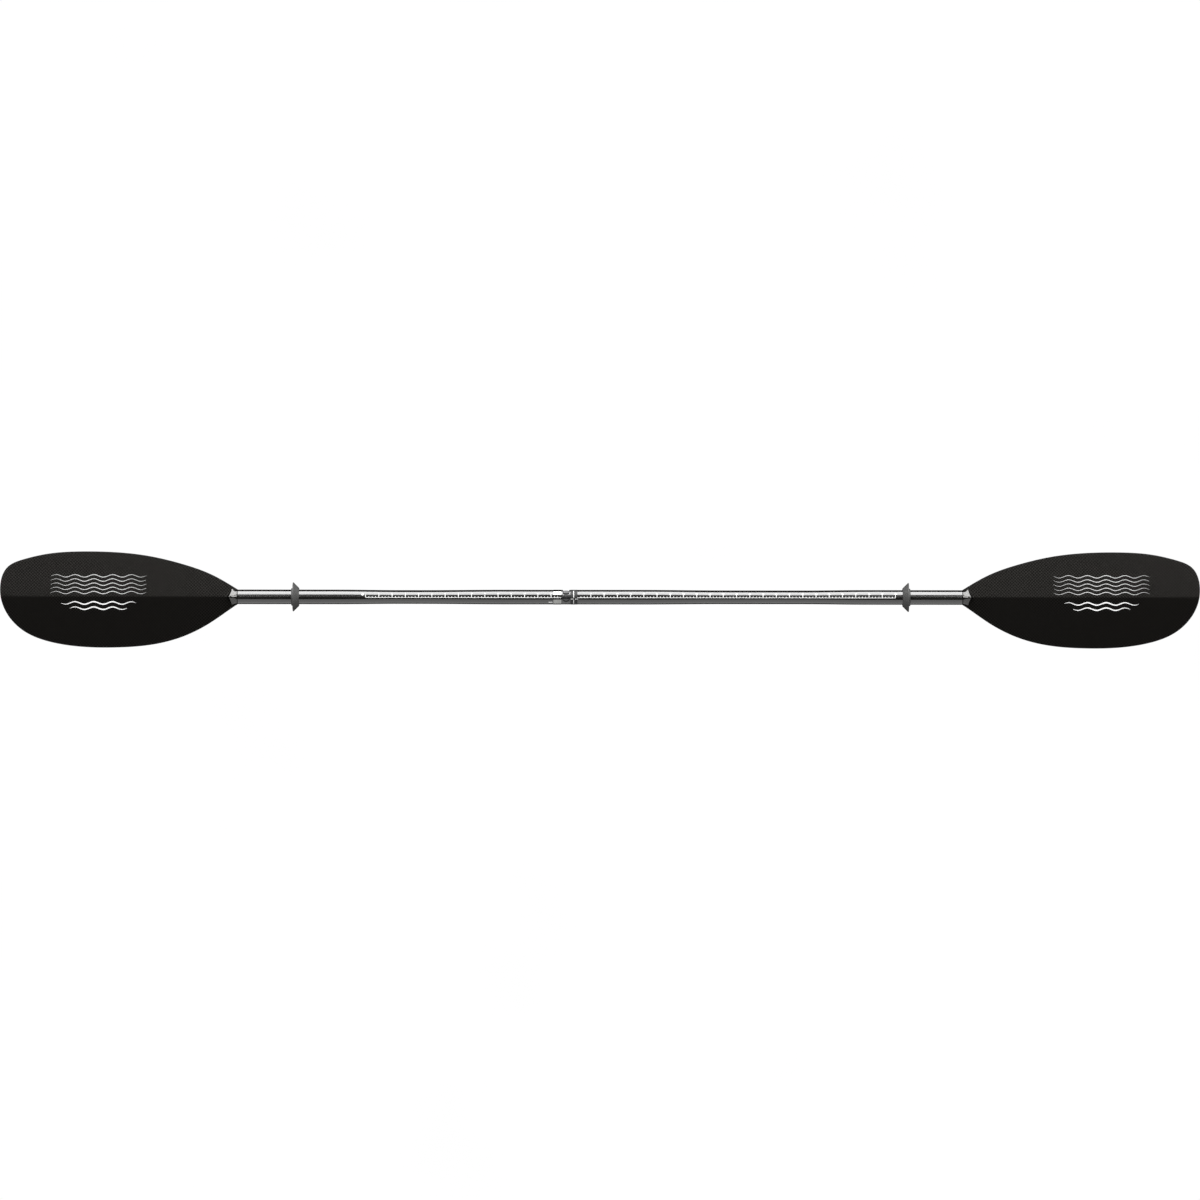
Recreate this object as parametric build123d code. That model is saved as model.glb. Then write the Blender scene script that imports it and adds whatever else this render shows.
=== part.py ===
from build123d import *
import os

# Two-piece carbon kayak paddle, lying flat with its power faces up.
# X runs along the shaft, +Y points to the shorter blade edge, and +Z out of the power faces.
# The origin is on the shaft axis, midway between the two blade tips. Everything is in mm.

# Driving dimensions
TOTAL_LENGTH = 2300.0
BLADE_LENGTH = 455.0
SHAFT_RADIUS = 14.0
SHAFT_WALL = 1.5
SEAM_X = -73.7  # where the two halves meet
FEATHER_LIMIT = 60.0  # degrees either way

TIP_X = TOTAL_LENGTH / 2
NECK_X = TIP_X - BLADE_LENGTH
SHAFT_BORE = SHAFT_RADIUS - SHAFT_WALL

# Grips: the shaft is pressed oval there, narrow across the blade plane and deep along Z.
# Each grip's stations along X: where it starts, is fully oval, starts to fade and is round again.
GRIP_HALF_WIDTH = 13.1
GRIP_HALF_DEPTH = 14.9
LEFT_GRIP = (-502, -385, -340, -180)
RIGHT_GRIP = (81, 235, 389, 511)

# Blade laminate: two skins on a thin foam core, spooned towards the power face,
# with a crisp ridge along the shaft axis.
SKIN = 0.7
CORE = 2.2
RIDGE_AT_NECK = 4.0
TIP_RISE = 18.0
HALF_WIDTH = 97.0
RIDGE_SLOPE = 0.11
RIM = 6.0  # solid laminate round the core
NECK_FLAT = 11.0  # length of the neck that stays round
NECK_SLOPE_END = 17.0
SPINE_TAPER_X = NECK_X + 14.0
SPINE_END_X = NECK_X + 235.0
SPINE_TIP_RADIUS = 1.5
SPINE_RISE = 6.0  # how far its axis climbs towards the tip, to end level with the back
BLADE_SPIGOT_LENGTH = 55.0
BLADE_SPIGOT_WALL = 2.0
BLADE_MARGIN = 10.0  # how far a laminate layer reaches past the outline before it is cut

# Half outline of the blade: distance from the tip, and offset from the shaft axis
UPPER_EDGE = [
    (405, 42.5), (345, 64), (283, 78.5), (221, 85.5),
    (160, 87), (98, 83.5), (45, 72), (14, 57),
]
LOWER_EDGE = [
    (14, -34), (45, -66), (98, -87.5), (160, -96.5),
    (221, -97.5), (283, -93), (345, -78), (405, -48),
]
TIP_POINT_Y = 18.0
NECK_EDGE_SLOPE = 0.62

# Ferrule: the male half is bonded in the left shaft and plugs into the female half
END_RING_RADIUS = SHAFT_RADIUS + 0.2
LEFT_RING_LENGTH = 16.1
RIGHT_RING_LENGTH = 13.3
COLLAR_LENGTH = 17.0
SEAM_GAP = 0.1
SPIGOT_RADIUS = 11.25
SPIGOT_BORE = 8.75
RUNNING_GAP = 0.05
SPIGOT_END_X = 18.0
MALE_INNER_END_X = -175.0
LINER_END_X = 35.0
RING_CHAMFER = 0.4

LEFT_RING_X = SEAM_X - LEFT_RING_LENGTH
COLLAR_END_X = SEAM_X + COLLAR_LENGTH
RIGHT_RING_END_X = COLLAR_END_X + RIGHT_RING_LENGTH

# Snap button: an oblong pin on a leaf spring, between the power face and the upper edge
BUTTON_X = -65.0
BUTTON_ANGLE = 45.0  # from +Z towards +Y
BUTTON_LENGTH = 11.6
BUTTON_WIDTH = 7.6
BUTTON_HOLE_GAP = 0.2
BUTTON_TOP = SHAFT_RADIUS + 0.6
BUTTON_EDGE_RADIUS = 0.8
BUTTON_FLANGE_TOP = 7.05
BUTTON_FLANGE_THICKNESS = 1.15
BUTTON_FLANGE_SIZE = (15.0, 10.0)
BUTTON_FLANGE_CORNER = 2.0
BUTTON_SLOT_RADIUS = 6.3
SPRING_STRIP = 0.6
SPRING_WIDTH = 6.0
SPRING_LENGTH = 34.0
SPRING_PAD = 5.0  # half the flat length under the button
SPRING_BEND = 1.4
SPRING_BEND_HEIGHT = 3.0
SPRING_CLEARANCE = 0.05

# Seal ring in a groove near the end of the spigot
SEAL_X = 8.0
SEAL_RADIUS = 0.7
SEAL_GROOVE_WIDTH = 1.6
SEAL_GROOVE_RADIUS = 9.8

# Plugs that keep water out of the shafts
INNER_PLUG_LENGTH = 10.0
LINER_PLUG_LENGTH = 15.0
BLADE_PLUG_LENGTH = 20.0
PLUG_GAP = 1.0
END_CAP_THICKNESS = 2.0
END_CAP_DEPTH = 12.0
END_CAP_CHAMFER = 0.6
END_CAP_LIP = 0.35

# Drip rings: rubber cups that open towards the blades. They slide, so the two don't match.
LEFT_DRIP_RING_X = -577.5
RIGHT_DRIP_RING_X = 580.5
DRIP_HUB_RADIUS = 16.2
DRIP_HUB_LENGTH = 15.0
DRIP_SHOULDER_RADIUS = 18.2
DRIP_RIM_RADIUS = 28.0
DRIP_SKIRT_LENGTH = 12.0
DRIP_SKIRT_WALL = 1.3


def section_plane(x):
    """Plane across the shaft at x, with its first axis along Z."""
    return Plane((x, 0, 0), x_dir=(0, 0, 1), z_dir=(1, 0, 0))


def rod(x_from, x_to, radius):
    """Round bar on the shaft axis."""
    return extrude(section_plane(x_from) * Circle(radius), amount=x_to - x_from)


def tube(x_from, x_to, outer, inner):
    """Round tube on the shaft axis."""
    return rod(x_from, x_to, outer) - rod(x_from, x_to, inner)


def turned(points):
    """Solid of revolution about the shaft axis, from (x, radius) corners."""
    profile = make_face(Plane.XY * Polyline(*points, close=True))
    return revolve(profile, Axis.X)


def fused(pieces):
    """One solid from pieces that touch."""
    whole = pieces[0]
    for piece in pieces[1:]:
        whole = whole + piece
    return whole


# Shafts

def shaft_solid(stations, inset):
    """Bar through oval stations (x, half width along Y, half depth along Z)."""
    spans = []
    for (x0, w0, d0), (x1, w1, d1) in zip(stations, stations[1:]):
        if w0 == d0 and w1 == d1:
            spans.append(rod(x0, x1, w0 - inset))
        else:
            start = section_plane(x0) * Ellipse(d0 - inset, w0 - inset)
            end = section_plane(x1) * Ellipse(d1 - inset, w1 - inset)
            spans.append(loft([start, end], ruled=True))
    return fused(spans)


def shaft(x_from, x_to, grip):
    """Carbon tube, round at both ends, with one oval grip between."""
    oval_from, grip_from, grip_to, oval_to = grip
    stations = [
        (x_from, SHAFT_RADIUS, SHAFT_RADIUS),
        (oval_from, SHAFT_RADIUS, SHAFT_RADIUS),
        (grip_from, GRIP_HALF_WIDTH, GRIP_HALF_DEPTH),
        (grip_to, GRIP_HALF_WIDTH, GRIP_HALF_DEPTH),
        (oval_to, SHAFT_RADIUS, SHAFT_RADIUS),
        (x_to, SHAFT_RADIUS, SHAFT_RADIUS),
    ]
    return shaft_solid(stations, 0) - shaft_solid(stations, SHAFT_WALL)


# Right blade; the left one is its mirror image

def ridge_height(x):
    """Height of the power face on the shaft axis, which spoons up towards the tip."""
    along = (x - NECK_X) / BLADE_LENGTH
    return RIDGE_AT_NECK + TIP_RISE * along**2


def blade_layer(depth, thickness):
    """Layer under the power face, from a depth below it, wider and longer than the blade."""
    xs = (NECK_X - BLADE_MARGIN, NECK_X + BLADE_LENGTH / 2, TIP_X + BLADE_MARGIN)
    top = [(x, ridge_height(x) - depth) for x in xs]
    bottom = [(x, z - thickness) for x, z in top]
    outline = [
        ThreePointArc(*top),
        Line(top[2], bottom[2]),
        ThreePointArc(*bottom),
        Line(bottom[0], top[0]),
    ]
    band = Plane.XZ * make_face(outline)
    reach = HALF_WIDTH + BLADE_MARGIN
    sides = [Solid.extrude(band.face(), Vector(0, side * reach, -RIDGE_SLOPE * reach)) for side in (1, -1)]
    return sides[0] + sides[1]


def outline_prism(inset):
    """The blade's plan shape as a tall block, shrunk by inset on each side."""
    middle = NECK_X + BLADE_LENGTH / 2
    shrink_x = 1 - 2 * inset / BLADE_LENGTH
    shrink_y = 1 - inset / HALF_WIDTH

    def place(x, y):
        return (middle + (x - middle) * shrink_x, y * shrink_y)

    neck_top = place(NECK_X, SHAFT_RADIUS)
    neck_bottom = place(NECK_X, -SHAFT_RADIUS)
    corners = UPPER_EDGE + [(0, TIP_POINT_Y)] + LOWER_EDGE
    edge = [place(TIP_X - from_tip, y) for from_tip, y in corners]
    neck_tangents = [(1, NECK_EDGE_SLOPE), (-1, NECK_EDGE_SLOPE)]
    outline = [
        Spline(neck_top, *edge, neck_bottom, tangents=neck_tangents),
        Line(neck_bottom, neck_top),
    ]
    height = 80.0
    return extrude(Plane.XY.offset(-height / 2) * make_face(outline), amount=height)


def spine(wall):
    """Round rib on the back: the shaft's line, fading into the blade, inside a wall.

    The inner one starts later and ends sooner, so that the wall is closed at both ends.
    """
    start = NECK_X + 4 * wall
    end = SPINE_END_X - 15 * wall
    climb = SPINE_RISE * (end - SPINE_TAPER_X) / (SPINE_END_X - SPINE_TAPER_X)
    root = section_plane(SPINE_TAPER_X) * Circle(SHAFT_RADIUS - wall)
    tip = section_plane(end) * Pos(climb, 0) * Circle(SPINE_TIP_RADIUS - wall)
    return rod(start, SPINE_TAPER_X, SHAFT_RADIUS - wall) + loft([root, tip], ruled=True)


def neck_block():
    """Neck of the blade: round like the shaft, with a slope on top down to the ridge."""
    slope_end = NECK_X + NECK_SLOPE_END
    side_view = make_face(Plane.XZ * Polyline(
        (NECK_X, -SHAFT_RADIUS - 1),
        (NECK_X, SHAFT_RADIUS + 1),
        (NECK_X + NECK_FLAT, SHAFT_RADIUS + 1),
        (slope_end, RIDGE_AT_NECK - 2 * SKIN),
        (slope_end, -SHAFT_RADIUS - 1),
        close=True,
    ))
    return rod(NECK_X, slope_end, SHAFT_RADIUS) & extrude(side_view, amount=SHAFT_RADIUS + 2, both=True)


def blade():
    """Power skin, back skin and foam core of the right blade."""
    clear = 12.0
    deep = 60.0
    under_skin = blade_layer(SKIN, deep)
    power_skin = (outline_prism(0) & blade_layer(0, deep)) + neck_block() - under_skin
    plate = outline_prism(0) & blade_layer(-clear, clear + 2 * SKIN + CORE)
    body = (plate + spine(0)) & under_skin
    filling = (outline_prism(RIM) & blade_layer(-clear, clear + SKIN + CORE)) + spine(SKIN)
    spigot = tube(NECK_X - BLADE_SPIGOT_LENGTH, NECK_X, SHAFT_BORE, SHAFT_BORE - BLADE_SPIGOT_WALL)
    return {
        "blade_power_skin": power_skin,
        "blade_back_skin": (body - filling) + spigot,
        "blade_core": body & filling,
    }


# Ferrule

def end_ring(x_from, x_to):
    """Ring bonded round the ferrule at the end of a shaft, with its outer corners broken."""
    ring = tube(x_from, x_to, END_RING_RADIUS, SHAFT_BORE)
    outer_edges = ring.edges().filter_by(GeomType.CIRCLE).group_by(SortBy.RADIUS)[-1]
    return chamfer(outer_edges, RING_CHAMFER)


def along_button(shape):
    """Turn a shape made on +Z so that it points along the snap button."""
    return shape.rotate(Axis.X, -BUTTON_ANGLE)


def male_ferrule():
    """Spigot bonded in the left shaft, with the button hole and the seal groove."""
    body = turned([
        (MALE_INNER_END_X, SPIGOT_BORE),
        (MALE_INNER_END_X, SHAFT_BORE),
        (SEAM_X, SHAFT_BORE),
        (SEAM_X, SPIGOT_RADIUS),
        (SPIGOT_END_X, SPIGOT_RADIUS),
        (SPIGOT_END_X, SPIGOT_BORE),
    ])
    groove_x = SEAL_X - SEAL_GROOVE_WIDTH / 2
    groove = tube(groove_x, groove_x + SEAL_GROOVE_WIDTH, SHAFT_RADIUS, SEAL_GROOVE_RADIUS)
    hole_plan = SlotOverall(BUTTON_LENGTH + 2 * BUTTON_HOLE_GAP, BUTTON_WIDTH + 2 * BUTTON_HOLE_GAP)
    hole = along_button(extrude(Plane((BUTTON_X, 0, 0)) * hole_plan, amount=SHAFT_RADIUS))
    return body - groove - hole


def female_ferrule():
    """Collar with the button slot, and the liner bonded in the right shaft."""
    bore = SPIGOT_RADIUS + RUNNING_GAP
    collar = tube(SEAM_X + SEAM_GAP, COLLAR_END_X, SHAFT_RADIUS, bore)
    liner = tube(COLLAR_END_X, LINER_END_X, SHAFT_BORE, bore)
    window = Plane.XZ * Pos(BUTTON_X, SHAFT_RADIUS) * Rectangle(2 * BUTTON_SLOT_RADIUS, SHAFT_RADIUS)
    sweep = revolve(window, Axis.X, revolution_arc=2 * FEATHER_LIMIT).rotate(Axis.X, -FEATHER_LIMIT)
    round_end = extrude(Plane((BUTTON_X, 0, 0)) * Circle(BUTTON_SLOT_RADIUS), amount=2 * SHAFT_RADIUS)
    ends = [round_end.rotate(Axis.X, angle) for angle in (-FEATHER_LIMIT, FEATHER_LIMIT)]
    slot = along_button(fused([sweep] + ends))
    return collar + liner - slot


def snap_button():
    """Oblong button with a domed top and a flange inside the spigot."""
    stem_plan = SlotOverall(BUTTON_LENGTH, BUTTON_WIDTH)
    flange_base = BUTTON_FLANGE_TOP - BUTTON_FLANGE_THICKNESS
    stem = extrude(Plane((BUTTON_X, 0, flange_base)) * stem_plan, amount=BUTTON_TOP - flange_base)
    stem = fillet(stem.edges().group_by(Axis.Z)[-1], BUTTON_EDGE_RADIUS)
    flange_plan = RectangleRounded(*BUTTON_FLANGE_SIZE, BUTTON_FLANGE_CORNER)
    flange = extrude(Plane((BUTTON_X, 0, flange_base)) * flange_plan, amount=BUTTON_FLANGE_THICKNESS)
    return along_button(stem + flange)


def snap_spring():
    """V-shaped leaf spring inside the spigot, which pushes the button out."""
    top = BUTTON_FLANGE_TOP - BUTTON_FLANGE_THICKNESS - SPRING_STRIP / 2
    bore_floor = (SPIGOT_BORE**2 - (SPRING_WIDTH / 2) ** 2) ** 0.5
    floor = SPRING_STRIP / 2 + SPRING_CLEARANCE - bore_floor
    pad_end = BUTTON_X - SPRING_PAD
    tail = BUTTON_X - SPRING_LENGTH
    path = Polyline(
        (BUTTON_X + SPRING_PAD, top),
        (pad_end, top),
        (tail, floor + SPRING_BEND_HEIGHT),
        (tail, floor),
        (BUTTON_X, floor),
    )
    bends = path.vertices().filter_by_position(Axis.X, tail, pad_end)
    path = fillet(bends, SPRING_BEND)
    strip = trace(path, SPRING_STRIP)
    return along_button(extrude(Plane.XZ * strip, amount=SPRING_WIDTH / 2, both=True))


def seal_ring():
    """Rubber ring that seals the spigot in the liner."""
    middle = SPIGOT_RADIUS - SEAL_RADIUS
    return Plane((SEAL_X, 0, 0), z_dir=(1, 0, 0)) * Torus(middle, SEAL_RADIUS)


def spigot_end_plug():
    """Cap in the open end of the spigot, which keeps water out of the left shaft."""
    cap = rod(SPIGOT_END_X, SPIGOT_END_X + END_CAP_THICKNESS, SPIGOT_RADIUS - END_CAP_LIP)
    cap = chamfer(cap.edges().group_by(Axis.X)[-1], END_CAP_CHAMFER)
    return cap + rod(SPIGOT_END_X - END_CAP_DEPTH, SPIGOT_END_X, SPIGOT_BORE)


# Drip rings

def drip_ring(x):
    """Rubber cup of the right side: a sleeve on the shaft with a flared skirt."""
    bore = SHAFT_RADIUS + RUNNING_GAP
    hub_end_x = x + DRIP_HUB_LENGTH
    skirt_x = x + DRIP_SKIRT_LENGTH
    shoulder_x = x + 1.2
    rim_roll = 0.5
    return turned([
        (x, bore),
        (x, DRIP_SHOULDER_RADIUS - 1),
        (shoulder_x, DRIP_SHOULDER_RADIUS),
        (skirt_x - 3 * rim_roll, DRIP_RIM_RADIUS - rim_roll),
        (skirt_x - rim_roll, DRIP_RIM_RADIUS),
        (skirt_x, DRIP_RIM_RADIUS - rim_roll),
        (skirt_x, DRIP_RIM_RADIUS - DRIP_SKIRT_WALL),
        (x + 4 * DRIP_SKIRT_WALL, DRIP_HUB_RADIUS + DRIP_SKIRT_WALL),
        (hub_end_x - rim_roll, DRIP_HUB_RADIUS + rim_roll),
        (hub_end_x, DRIP_HUB_RADIUS),
        (hub_end_x, bore),
    ])


def build():
    """Every separate piece of the paddle, by name."""
    liner_plug_x = LINER_END_X + PLUG_GAP
    blade_plug_end_x = NECK_X - BLADE_SPIGOT_LENGTH - PLUG_GAP
    parts = {
        "left_shaft": shaft(-NECK_X, LEFT_RING_X, LEFT_GRIP),
        "right_shaft": shaft(RIGHT_RING_END_X, NECK_X, RIGHT_GRIP),
        "left_end_ring": end_ring(LEFT_RING_X, SEAM_X),
        "right_end_ring": end_ring(COLLAR_END_X, RIGHT_RING_END_X),
        "male_ferrule": male_ferrule(),
        "female_ferrule": female_ferrule(),
        "snap_button": snap_button(),
        "snap_spring": snap_spring(),
        "seal_ring": seal_ring(),
        "spigot_end_plug": spigot_end_plug(),
        "left_drip_ring": mirror(drip_ring(-LEFT_DRIP_RING_X), about=Plane.YZ),
        "right_drip_ring": drip_ring(RIGHT_DRIP_RING_X),
        "left_inner_plug": rod(MALE_INNER_END_X, MALE_INNER_END_X + INNER_PLUG_LENGTH, SPIGOT_BORE),
        "right_inner_plug": rod(liner_plug_x, liner_plug_x + LINER_PLUG_LENGTH, SHAFT_BORE),
    }
    mirrored = {
        **blade(),
        "blade_plug": rod(blade_plug_end_x - BLADE_PLUG_LENGTH, blade_plug_end_x, SHAFT_BORE),
    }
    for name, shape in mirrored.items():
        parts["right_" + name] = shape
        parts["left_" + name] = mirror(shape, about=Plane.YZ)
    return parts


os.makedirs("parts", exist_ok=True)
for node, shape in build().items():
    export_step(shape, f"parts/{node}.step")
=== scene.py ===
"""Looks of a two-piece carbon kayak paddle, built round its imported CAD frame.

X runs along the shaft, +Y to the shorter blade edge, +Z out of the power faces. Metres throughout.
"""

import math

import bmesh
import bpy
import numpy as np
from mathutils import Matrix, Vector

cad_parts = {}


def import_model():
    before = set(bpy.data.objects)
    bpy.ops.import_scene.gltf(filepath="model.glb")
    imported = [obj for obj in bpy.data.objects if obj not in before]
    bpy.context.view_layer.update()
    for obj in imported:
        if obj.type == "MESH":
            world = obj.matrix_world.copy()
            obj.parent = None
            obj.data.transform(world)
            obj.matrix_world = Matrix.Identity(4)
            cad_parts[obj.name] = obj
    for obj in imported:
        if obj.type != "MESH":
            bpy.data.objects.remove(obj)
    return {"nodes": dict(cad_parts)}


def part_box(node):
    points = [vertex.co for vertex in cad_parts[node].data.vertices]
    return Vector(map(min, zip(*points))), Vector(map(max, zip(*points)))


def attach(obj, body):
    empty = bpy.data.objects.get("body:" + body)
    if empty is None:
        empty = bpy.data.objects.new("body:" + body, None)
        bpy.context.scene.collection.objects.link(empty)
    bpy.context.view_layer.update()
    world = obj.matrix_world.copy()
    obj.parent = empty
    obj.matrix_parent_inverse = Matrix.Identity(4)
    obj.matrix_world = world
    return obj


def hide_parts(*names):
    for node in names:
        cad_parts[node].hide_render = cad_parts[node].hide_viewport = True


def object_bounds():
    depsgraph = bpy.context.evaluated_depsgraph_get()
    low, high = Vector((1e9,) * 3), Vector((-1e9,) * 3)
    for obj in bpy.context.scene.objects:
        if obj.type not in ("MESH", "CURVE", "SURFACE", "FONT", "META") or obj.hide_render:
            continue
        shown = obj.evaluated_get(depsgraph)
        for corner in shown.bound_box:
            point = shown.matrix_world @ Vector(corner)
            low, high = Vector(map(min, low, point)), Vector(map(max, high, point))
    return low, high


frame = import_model()
cad_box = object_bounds()

MM = 0.001
INCH = 0.0254

# Places and sizes read from the frame
NECK_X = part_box("right_shaft")[1].x
TIP_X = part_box("right_blade_power_skin")[1].x
SHAFT_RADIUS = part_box("female_ferrule")[1].y
SHAFT_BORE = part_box("male_ferrule")[1].y
GRIP_HALF_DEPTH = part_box("left_shaft")[1].z
LEFT_SHAFT_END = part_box("left_shaft")[1].x
RIGHT_SHAFT_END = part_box("right_shaft")[0].x
LEFT_DRIP_RING_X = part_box("left_drip_ring")[1].x
RIGHT_DRIP_RING_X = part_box("right_drip_ring")[0].x
DRIP_RING_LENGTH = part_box("right_drip_ring")[1].x - RIGHT_DRIP_RING_X
DRIP_RIM_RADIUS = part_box("right_drip_ring")[1].y
SPIGOT_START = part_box("right_blade_back_skin")[0].x
FLOOR_Z = cad_box[0].y - 0.5 * MM  # low enough for a blade turned on its edge

# Oval grips: where each starts, is full, starts to fade and ends. The rest of the shaft is round
GRIP_HALF_WIDTH = 13.1 * MM
LEFT_GRIP = (-502 * MM, -385 * MM, -340 * MM, -180 * MM)
RIGHT_GRIP = (81 * MM, 235 * MM, 389 * MM, 511 * MM)

# Blade laminate
SKIN = 0.7 * MM
BLADE_THICKNESS = 3.6 * MM
SPIGOT_WALL = 2.0 * MM
TOW = 3.0 * MM  # one square of the weave
LOW_ANGLE_SHEEN = 0.06  # share of the gloss that is left when a blade is seen at a low angle

# Power face: a ridge on the axis, and a tip that is spooned up
RIDGE_AT_NECK = 4.0 * MM
RIDGE_SLOPE = 0.11
RIDGE_SOFTNESS = 1.2 * MM
TIP_RISE = 18.0 * MM

# Neck on the power side: round at the shaft, then a gable that drops to the face
ROUND_TO_GABLE = 12.0 * MM
NECK_SLOPE_END = 21.3 * MM
NECK_DROP = 4.5 * MM
NECK_SKEW = 0.7
NECK_FILLET = 1.5 * MM
GABLE_HEIGHT = 13.0 * MM
GABLE_SLOPE = 0.95
GABLE_SOFTNESS = 4.8 * MM
SEAM_WIDTH = 1.6 * MM  # matt line where the neck meets the shaft
SHINE_ABOVE_RIDGE = 0.6 * MM

# Spine on the back
SPINE_TAPER_START = 14.0 * MM
SPINE_LENGTH = 235.0 * MM
SPINE_TIP_RADIUS = 1.5 * MM
SPINE_RISE = 6.0 * MM
SPINE_SIDE_SLOPE = 3.0
SPINE_FILLET = 2.5 * MM
SPINE_FOOT_MARGIN = 1.5 * MM

# Blade edge in mm: distance from the tip, and offset from the shaft axis
UPPER_EDGE = [
    (405, 42.5), (345, 64), (283, 78.5), (221, 85.5),
    (160, 87), (98, 83.5), (45, 72), (14, 57),
]
TIP_POINT = (0, 18)
LOWER_EDGE = [
    (14, -34), (45, -66), (98, -87.5), (160, -96.5),
    (221, -97.5), (283, -93), (345, -78), (405, -48),
]
NECK_EDGE_SLOPE = 0.62

# Drip rings
DRIP_BORE_GAP = 0.12 * MM  # lets them slide over the print
DRIP_HUB_WALL = 2.2 * MM

# Printed inch scale. Tops, feet and spans are measured round the shaft, from its top towards +Y
SCALE_START = -449.4 * MM
SCALE_INCHES = 40
SCALE_LINE_TOP = -0.5 * MM
SCALE_LINE_FOOT = -1.5 * MM
INCH_TICK = 1.3 * MM
INCH_TICK_TOP = 4.4 * MM
QUARTER_TICK = 1.2 * MM
QUARTER_TICK_TOP = 1.3 * MM
DIGIT_FOOT = 4.9 * MM
DIGIT_HEIGHT = 3.4 * MM
DOT_BEFORE_SCALE = 6 * MM
DOT_CENTRE = 5 * MM
DOT_RADIUS = 2.1 * MM
DASH_START = 8.7 * MM
DASH_END = 1.7 * MM
DASH_SPAN = (-12.0 * MM, -9.8 * MM)

# Marks on the ferrule's rings
RING_PRINT_MARGIN = 0.6 * MM
RING_QUARTERS = (57, 58)
INDEX_LINE_X = -50.5 * MM
INDEX_LINE_WIDTH = 1.1 * MM
INDEX_LINE_SPANS = ((-1.1 * MM, 14.4 * MM), (-15.5 * MM, -5.9 * MM))
ANGLE_MARK_START = 0.8 * MM
ANGLE_MARK_PITCH = 2.05 * MM
ANGLE_MARK_WIDTH = 1.2 * MM
ANGLE_MARK_SPAN = (-4.9 * MM, -2.6 * MM)
ANGLE_MARK_STEPS = (0, 1, 2, 4, 5, 6)

# Height of the ink above what it is printed on
SHAFT_INK_LIFT = 0.06 * MM
RING_INK_LIFT = 0.05 * MM
BLADE_INK_LIFT = 0.08 * MM

# Wave strokes in mm: offset from the shaft axis, length, and half of the thickness
FINE_WAVES = [(offset, 184, 0.6) for offset in (8, 16, 24, 32, 40)]
BOLD_WAVES = [(-12, 143, 1.2), (-22, 110, 1.2)]
WAVE_CENTRE = TIP_X - 188 * MM
WAVE_PITCH = 36 * MM
WAVE_HEIGHT = 2.4 * MM
WAVE_STEPS = 96

# Studio
PANEL_Y = 3.0
OVERHEAD_Y = 1.3
OVERHEAD_Z = 4.0
BLADE_PANEL_X = 2.75
CAMERA_HEIGHT = 12.0
CAMERA_Y = -5.4 * MM
CAMERA_ROLL = math.radians(0.056)
SENSOR_WIDTH = 36.0
PICTURE_FILL = 0.9985  # share of the picture's width that the paddle takes up

# Mesh fineness
ROUND_STEPS = 128
SHAFT_STEPS = 140
RIM_STEPS = 6

# Blade mesh columns: across the spine or neck, and from its foot to the blade's edge
SPINE_SHARES = (0, 0.05, 0.12, 0.2, 0.32, 0.44, 0.56, 0.66, 0.75, 0.82, 0.88, 0.93, 0.97, 1)
FACE_SHARES = (0.03, 0.07, 0.12, 0.2, 0.3, 0.42, 0.54, 0.66, 0.77, 0.86, 0.93, 0.97, 1)
BOND_SHARES = (0.95, 0.6, 0.3, 0.1, 0)
TIP_FAN = 70.0 * MM  # the rows near the tip fan out from this far inside it


# Mesh helpers

def make_piece(name, vertices, faces, body, material, sharp=30):
    """Mesh piece with smooth shading that breaks only at sharp edges."""
    mesh = bpy.data.meshes.new(name)
    mesh.from_pydata([tuple(v) for v in vertices], [], faces)
    mesh.update()
    piece = bpy.data.objects.new(name, mesh)
    bpy.context.collection.objects.link(piece)
    work = bmesh.new()
    work.from_mesh(mesh)
    bmesh.ops.remove_doubles(work, verts=work.verts, dist=1e-6)
    bmesh.ops.recalc_face_normals(work, faces=work.faces)
    work.to_mesh(mesh)
    work.free()
    mesh.materials.append(material)
    mesh.shade_smooth()
    mesh.set_sharp_from_angle(angle=math.radians(sharp))
    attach(piece, body)
    return piece


def grid_faces(rows, columns, wrap_rows=False, wrap_columns=False):
    """Quads of a grid of vertices that is stored row by row."""
    faces = []
    for i in range(rows if wrap_rows else rows - 1):
        for j in range(columns if wrap_columns else columns - 1):
            a = i * columns + j
            b = i * columns + (j + 1) % columns
            c = ((i + 1) % rows) * columns + (j + 1) % columns
            d = ((i + 1) % rows) * columns + j
            faces.append((a, b, c, d))
    return faces


def rounded(corners, radius, steps=4):
    """Closed outline with each corner replaced by a short curve."""
    points = []
    count = len(corners)
    for i in range(count):
        here = np.array(corners[i], float)
        before = np.array(corners[i - 1], float) - here
        after = np.array(corners[(i + 1) % count], float) - here
        reach = min(radius, np.linalg.norm(before) * 0.45, np.linalg.norm(after) * 0.45)
        start = here + before / np.linalg.norm(before) * reach
        end = here + after / np.linalg.norm(after) * reach
        for k in range(steps + 1):
            t = k / steps
            points.append((1 - t) ** 2 * start + 2 * t * (1 - t) * here + t**2 * end)
    return points


def lathe(name, outline, body, material):
    """Ring turned about the shaft axis from a closed (x, radius) outline."""
    vertices = []
    for i in range(ROUND_STEPS):
        angle = 2 * math.pi * i / ROUND_STEPS
        for x, radius in outline:
            vertices.append((x, radius * math.sin(angle), radius * math.cos(angle)))
    faces = grid_faces(ROUND_STEPS, len(outline), wrap_rows=True, wrap_columns=True)
    return make_piece(name, vertices, faces, body, material, sharp=50)


def ease(t):
    """Smooth ramp from 0 to 1."""
    t = min(max(t, 0.0), 1.0)
    return t * t * (3 - 2 * t)


# Materials

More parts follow.
